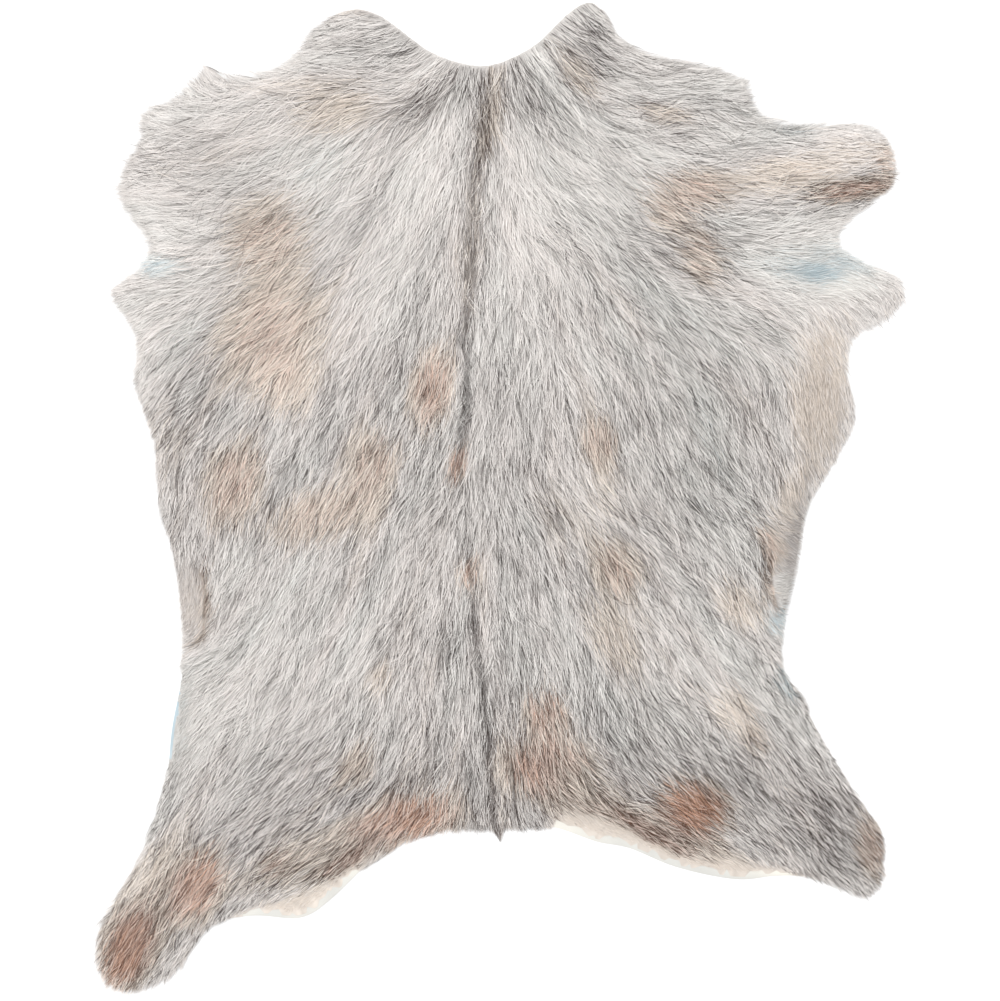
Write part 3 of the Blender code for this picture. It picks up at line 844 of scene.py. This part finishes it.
def grow(flat, guide, draw):
    """Each hair's middle line, rung by rung, its pigment, shades and width, from its flat places."""
    count = flat.shape[1]
    bow = draw.normal(0, BOW, count)
    chord = flat[-1] - flat[0]
    across = left_of(chord) * bow[:, None]
    flat = flat + np.sin(np.pi * np.array(RUNGS))[:, None, None] * across

    # A hair takes the coat's colour from close by, so that the borders of the patches are as loose as hair.
    place = flat[SEEN_RUNG]
    along = lay_at(place) * draw.normal(0, 5 * MM, count)[:, None]
    seen = place + along + draw.normal(0, 2 * MM, (count, 2))
    pigment, shade = coat_look(seen, GUIDE_STREAKS[guide], draw)
    darker = COAT_SHADE - shade
    fineness = np.clip(hair_length_at(seen) / FINE_LENGTH, 0.4, 1)
    fineness *= 1 - 0.3 * soft_step((pigment - 0.8) / 0.2)  # rust hair is more even than the rest
    kind = draw.random(count)
    dark = kind < np.clip(DARK_SHARE + DARK_GAIN * darker, *DARK_LIMITS) * fineness
    pale = kind > 1 - PALE_SHARE
    pigment += draw.normal(0, PIGMENT_VARIES, count)
    shade = COAT_SHADE - SHADE_FOLLOWS * darker + draw.normal(0, SHADE_VARIES, count) * fineness
    shade[dark] -= (draw.uniform(*DARK_DROP, count) * fineness)[dark]
    shade[pale] += (draw.uniform(*PALE_RISE, count) * fineness)[pale]
    darkness = spine_darkness(place + draw.normal(0, SPINE_SPREAD, (count, 2)))
    of_spine = draw.random(count) < darkness * SPINE_GAIN
    shade[of_spine] -= draw.uniform(*SPINE_DROP, count)[of_spine]

    on_top = dark | pale | of_spine
    depth = np.where(on_top, draw.uniform(*TOP_DEPTHS, count), draw.uniform(*USUAL_DEPTHS, count))
    widths = draw.uniform(*WIDTH_VARIES, count) * np.where(dark, DARK_WIDTH, 1.0) * fineness**0.5
    shades = np.array([shade + rise for rise in RUNG_SHADES])
    return raised_over(flat, depth), pigment, shades, widths


def ribbon_mesh(name, rungs, pigment, shades, widths, draw):
    """One mesh of ribbons, each a strip of three faces that ends in a point, with its colour as a map."""
    count = rungs.shape[1]
    twist = draw.uniform(-0.5, 0.5, count)
    corners, maps = [], []
    for number, share in enumerate(RUNG_WIDTHS):
        way = rungs[number + 1] - rungs[number]
        flat = left_of(way)
        flat /= np.maximum(np.linalg.norm(flat, axis=1), 1e-9)[:, None]
        across = np.column_stack((flat * np.cos(twist)[:, None], np.sin(twist)))
        across *= (0.5 * HAIR_WIDTH * share * widths)[:, None]
        for side in (1, -1):
            corners.append(rungs[number] + side * across)
            maps.append(np.stack((pigment + side * MAP_WIDTH / 2, shades[number]), 1))
    corners.append(rungs[-1])
    maps.append(np.stack((pigment, shades[-1]), 1))
    corners = np.stack(corners, 1)
    corners[:, :, 2] = np.maximum(corners[:, :, 2], LEAST_CORNER)
    maps = np.clip(np.stack(maps, 1), *MAP_LIMITS)

    faces = np.array(RIBBON_FACES)
    starts = np.array(RIBBON_STARTS)
    each = np.arange(count)[:, None]
    mesh = bpy.data.meshes.new(name)
    mesh.vertices.add(count * RIBBON_CORNERS)
    mesh.vertices.foreach_set("co", corners.astype(np.float32).ravel())
    mesh.loops.add(count * len(faces))
    mesh.loops.foreach_set("vertex_index", (each * RIBBON_CORNERS + faces).astype(np.int32).ravel())
    mesh.polygons.add(count * len(starts))
    mesh.polygons.foreach_set("loop_start", (each * len(faces) + starts).astype(np.int32).ravel())
    mesh.update(calc_edges=True)
    add_colour_map(mesh, maps[:, faces].reshape(-1, 2))
    mesh.shade_smooth()
    return mesh


def add_colour_map(mesh, coordinates):
    """Puts (pigment, shade) in a map for the material, and in a like one for baking that no node reads."""
    for name in ("coat", "OFBake"):
        layer = mesh.uv_layers.new(name=name)
        layer.uv.foreach_set("vector", coordinates.astype(np.float32).ravel())
    mesh.uv_layers.active = mesh.uv_layers["coat"]


def shown(name, mesh, material):
    """Puts a mesh in the scene as a piece of the rug that stands for the solid."""
    piece = bpy.data.objects.new(name, mesh)
    bpy.context.scene.collection.objects.link(piece)
    mesh.materials.append(material)
    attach(piece, "root")
    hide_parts("goatskin")
    return piece


def flat_mesh(step, draw):
    """Places and triangles that fill the skin's outline, a step apart, with a ring close inside it."""
    edge = HIDE["edge"]
    inwards = unit(left_of(np.roll(edge, -1, axis=0) - np.roll(edge, 1, axis=0)))
    ring = edge + inwards * 2.5 * MM
    ring = ring[hide_at("inward", ring) > 1.8 * MM]  # keeps it clear of the edge in narrow notches
    fill = spread_points(step, 0.8 * step, draw)
    places = np.vstack((edge, ring, fill))
    outline = list(range(len(edge)))
    found = delaunay_2d_cdt([Vector(place) for place in places], [], [outline], 1, 1e-7)
    return np.array([point[:] for point in found[0]]), [tuple(triangle) for triangle in found[2]]


def make_hide(material):
    """The tanned skin: flat below, with a rounded cut edge."""
    flat, triangles = flat_mesh(SKIN_STEP, np.random.default_rng(SEED + 1))
    inward = hide_at("inward", flat)
    top = SKIN * (SKIN_EDGE_SHARE + (1 - SKIN_EDGE_SHARE) * soft_step(inward / SKIN_EDGE_WIDTH))
    lumps = [noise.noise(Vector((x * SKIN_LUMPS, y * SKIN_LUMPS, 0))) for x, y in flat]
    top += SKIN_LUMP * np.array(lumps)
    bm = bmesh.new()
    lower = [bm.verts.new((x, y, 0)) for x, y in flat]
    for triangle in triangles:
        bm.faces.new([lower[corner] for corner in triangle])
    raised = bmesh.ops.extrude_face_region(bm, geom=list(bm.faces), use_keep_orig=True)
    height = {tuple(vertex.co.xy): float(z) for vertex, z in zip(lower, top)}
    for vertex in raised["geom"]:
        if isinstance(vertex, bmesh.types.BMVert):
            vertex.co.z = height[tuple(vertex.co.xy)]
    bmesh.ops.recalc_face_normals(bm, faces=list(bm.faces))
    bm.faces.sort(key=lambda face: face.calc_center_median().dot(FACE_ORDER))
    mesh = bpy.data.meshes.new("hide")
    bm.to_mesh(mesh)
    bm.free()
    places = np.array([vertex.co.xy for vertex in mesh.vertices])
    colours = np.tile(linear(SKIN_COLOUR), (len(places), 1))
    for _, *ellipse, colour in SKIN_PATCHES:
        share = ellipse_share(places, *ellipse)[:, None]
        colours = colours * (1 - share) + linear(colour) * share
    colours = np.column_stack((colours, np.ones(len(places))))
    tint = mesh.color_attributes.new("skin_tint", "FLOAT_COLOR", "POINT")
    tint.data.foreach_set("color", colours.astype(np.float32).ravel())
    mesh.shade_smooth()
    mesh.set_sharp_from_angle(angle=math.radians(50))
    return shown("hide", mesh, material)


def make_undercoat(material):
    """The woolly layer that fills the lower half of the coat."""
    draw = np.random.default_rng(SEED + 2)
    flat, triangles = flat_mesh(UNDERCOAT_STEP, draw)
    covered = hide_at("from_bare", flat) > BARE_MARGIN
    triangles = [triangle for triangle in triangles if covered[list(triangle)].any()]
    flat = flat + lay_at(flat) * draw.normal(0, 0.2 * MM, len(flat))[:, None]
    heights = under_height(flat)
    mesh = bpy.data.meshes.new("undercoat")
    mesh.from_pydata(np.column_stack((flat, heights)).tolist(), [], triangles)
    guide = nearest(GUIDE_TREE, flat)[0]
    pigment, shade = coat_look(flat, GUIDE_STREAKS[guide], draw)
    shade = shade - UNDERCOAT_DARKER - UNDERCOAT_SPINE * spine_darkness(flat)
    shade = shade + draw.normal(0, SHADE_VARIES, len(flat))
    corners = np.array([loop.vertex_index for loop in mesh.loops])
    add_colour_map(mesh, np.clip(np.stack((pigment, shade), 1), *MAP_LIMITS)[corners])
    mesh.shade_smooth()
    return shown("undercoat", mesh, material)


def make_wisps(draw):
    """The few tufts that stand out past the edge of the coat, each drawn to a point."""
    made = []
    for _, x, y, heading, length, spread, count in WISPS:
        middle = on_rug((x, y))
        roots = middle + draw.normal(0, spread * MM / 2, (count, 2))
        tip = middle + from_heading(heading) * length * MM
        ends = roots + (tip - roots) * draw.uniform(0.55, 1.0, count)[:, None]
        flat = np.array([roots + (ends - roots) * share for share in RUNGS])
        made.append(grow(flat, nearest(GUIDE_TREE, roots)[0], draw))
    return made


def make_hair(material):
    """The coat, in pieces of one size from the tail to the neck."""
    draw = np.random.default_rng(SEED + 3)
    step = math.sqrt(HIDE_AREA / HAIRS)
    rim = spread_points(step, HAIR_MARGIN, draw)
    rim = rim[hide_at("inward", rim) < RIM_WIDTH]
    roots = np.vstack((spread_points(step, HAIR_MARGIN, draw), rim))
    roots = roots[hide_at("from_bare", roots) > BARE_MARGIN]
    roots = roots[np.argsort(roots[:, 1], kind="stable")]
    pieces = []
    wisps = make_wisps(draw)
    for number, part in enumerate(np.array_split(roots, HAIR_PIECES)):
        guide = nearest(GUIDE_TREE, part)[0]
        grown = [grow(combed(part, guide, draw), guide, draw)]
        for wisp in wisps:
            first_root = wisp[0][0, 0]
            if part[0, 1] <= first_root[1] < part[-1, 1]:
                grown.append(wisp)
        axes = (1, 0, 1, 0)  # along which the rungs, pigments, shades and widths list the hairs
        hairs = [np.concatenate(group, axis) for group, axis in zip(zip(*grown), axes)]
        name = f"hair_{number + 1}"
        mesh = ribbon_mesh(name, *hairs, draw)
        pieces.append(shown(name, mesh, material))
    return pieces


def wire(tree, made, inputs):
    """Fills a node's inputs, given as (name or number, value or another node's output)."""
    for name, value in inputs:
        if isinstance(value, bpy.types.NodeSocket):
            tree.links.new(value, made.inputs[name])
        else:
            made.inputs[name].default_value = value


def node(tree, kind, inputs=(), **settings):
    """A new shader node with its settings and inputs."""
    made = tree.nodes.new(kind)
    for name, value in settings.items():
        setattr(made, name, value)
    wire(tree, made, inputs)
    return made


def new_material(name, roughness, specular):
    """A material with its node tree and its shader."""
    material = bpy.data.materials.new(name)
    material.use_nodes = True
    shader = material.node_tree.nodes["Principled BSDF"]
    shader.inputs["Roughness"].default_value = roughness
    shader.inputs["Specular IOR Level"].default_value = specular
    return material, material.node_tree, shader


def pigment_ramp(tree, across, column):
    """A ramp of the darkest (column 2) or lightest (column 3) colour of each pigment."""
    ramp = node(tree, "ShaderNodeValToRGB", [("Fac", across)])
    stops = ramp.color_ramp.elements
    while len(stops) < len(PIGMENTS):
        stops.new(0.5)
    for stop, row in zip(stops, PIGMENTS):
        stop.position = row[1]
        stop.color = (*linear(row[column]), 1)
    return ramp.outputs["Color"]


def hair_material():
    """Goat hair: the map's one side is the pigment, and the other goes from its darkest to its lightest."""
    material, tree, shader = new_material("goat_hair_coat", roughness=0.62, specular=0.22)
    coordinates = node(tree, "ShaderNodeUVMap", uv_map="coat")
    split = node(tree, "ShaderNodeSeparateXYZ", [("Vector", coordinates.outputs["UV"])])
    darkest = pigment_ramp(tree, split.outputs["X"], 2)
    lightest = pigment_ramp(tree, split.outputs["X"], 3)
    ends = [("Factor", split.outputs["Y"]), (MIX_A, darkest), (MIX_B, lightest)]
    mixed = node(tree, "ShaderNodeMix", ends, data_type="RGBA")
    wire(tree, shader, [("Base Color", mixed.outputs[MIX_RESULT])])
    return material


def skin_material():
    """Tanned skin: soft matte suede with a fine nap and cloudy blotches."""
    material, tree, shader = new_material("suede", roughness=0.9, specular=0.2)
    tint = node(tree, "ShaderNodeAttribute", attribute_name="skin_tint")
    place = node(tree, "ShaderNodeTexCoord").outputs["Object"]
    blotch = node(tree, "ShaderNodeTexNoise", [("Vector", place), ("Scale", 38.0), ("Detail", 5.0)])
    nap = node(tree, "ShaderNodeTexNoise", [("Vector", place), ("Scale", 900.0), ("Detail", 3.0)])
    limits = [("From Min", 0.3), ("From Max", 0.7), ("To Min", 0.93), ("To Max", 1.03)]
    strength = node(tree, "ShaderNodeMapRange", [("Value", blotch.outputs["Fac"]), *limits])
    colour = [(0, tint.outputs["Color"]), ("Scale", strength.outputs["Result"])]
    shaded = node(tree, "ShaderNodeVectorMath", colour, operation="SCALE")
    relief = [("Height", nap.outputs["Fac"]), ("Strength", 0.35), ("Distance", 0.4 * MM)]
    bump = node(tree, "ShaderNodeBump", relief)
    wire(tree, shader, [("Base Color", shaded.outputs["Vector"]), ("Normal", bump.outputs["Normal"])])
    return material


def make_floor():
    """A plain pale floor, which is no part of the rug."""
    bpy.ops.mesh.primitive_plane_add(size=14)
    floor = bpy.context.object
    floor.name = "floor"
    material, tree, shader = new_material("pale_floor", roughness=0.95, specular=0.0)
    wire(tree, shader, [("Base Color", (0.96, 0.96, 0.96, 1))])
    floor.data.materials.append(material)


def make_light():
    """Soft even studio light, with a little more of it from the upper left."""
    world = bpy.data.worlds.new("studio")
    world.use_nodes = True
    sky = world.node_tree.nodes["Background"]
    wire(world.node_tree, sky, [("Color", (1, 1, 1, 1)), ("Strength", 0.95)])
    bpy.context.scene.world = world
    lamp = bpy.data.lights.new("window", "SUN")
    lamp.energy = 1.4
    lamp.angle = math.radians(25)
    window = bpy.data.objects.new("window", lamp)
    window.rotation_euler = (math.radians(-28), math.radians(-34), 0)
    bpy.context.scene.collection.objects.link(window)


def make_camera():
    """A camera straight above, whose long side takes in the photograph's 1001 pixels."""
    data = bpy.data.cameras.new("camera")
    data.sensor_width = SENSOR
    data.lens = SENSOR * (CAMERA_HEIGHT - CAMERA_FOCUS_HEIGHT) / (PHOTO_LONG_SIDE * PIXEL)
    data.clip_end = 30
    camera = bpy.data.objects.new("camera", data)
    x, y = on_rug(PHOTO_CENTRE)
    camera.location = (x, y, CAMERA_HEIGHT)
    bpy.context.scene.collection.objects.link(camera)
    bpy.context.scene.camera = camera


def make_scene():
    """The rug, the floor under it, the light and the camera."""
    bpy.context.scene.view_settings.view_transform = "Standard"
    make_camera()
    make_light()
    make_floor()
    coat = hair_material()
    hide = make_hide(skin_material())
    undercoat = make_undercoat(coat)
    hair = make_hair(coat)


make_scene()
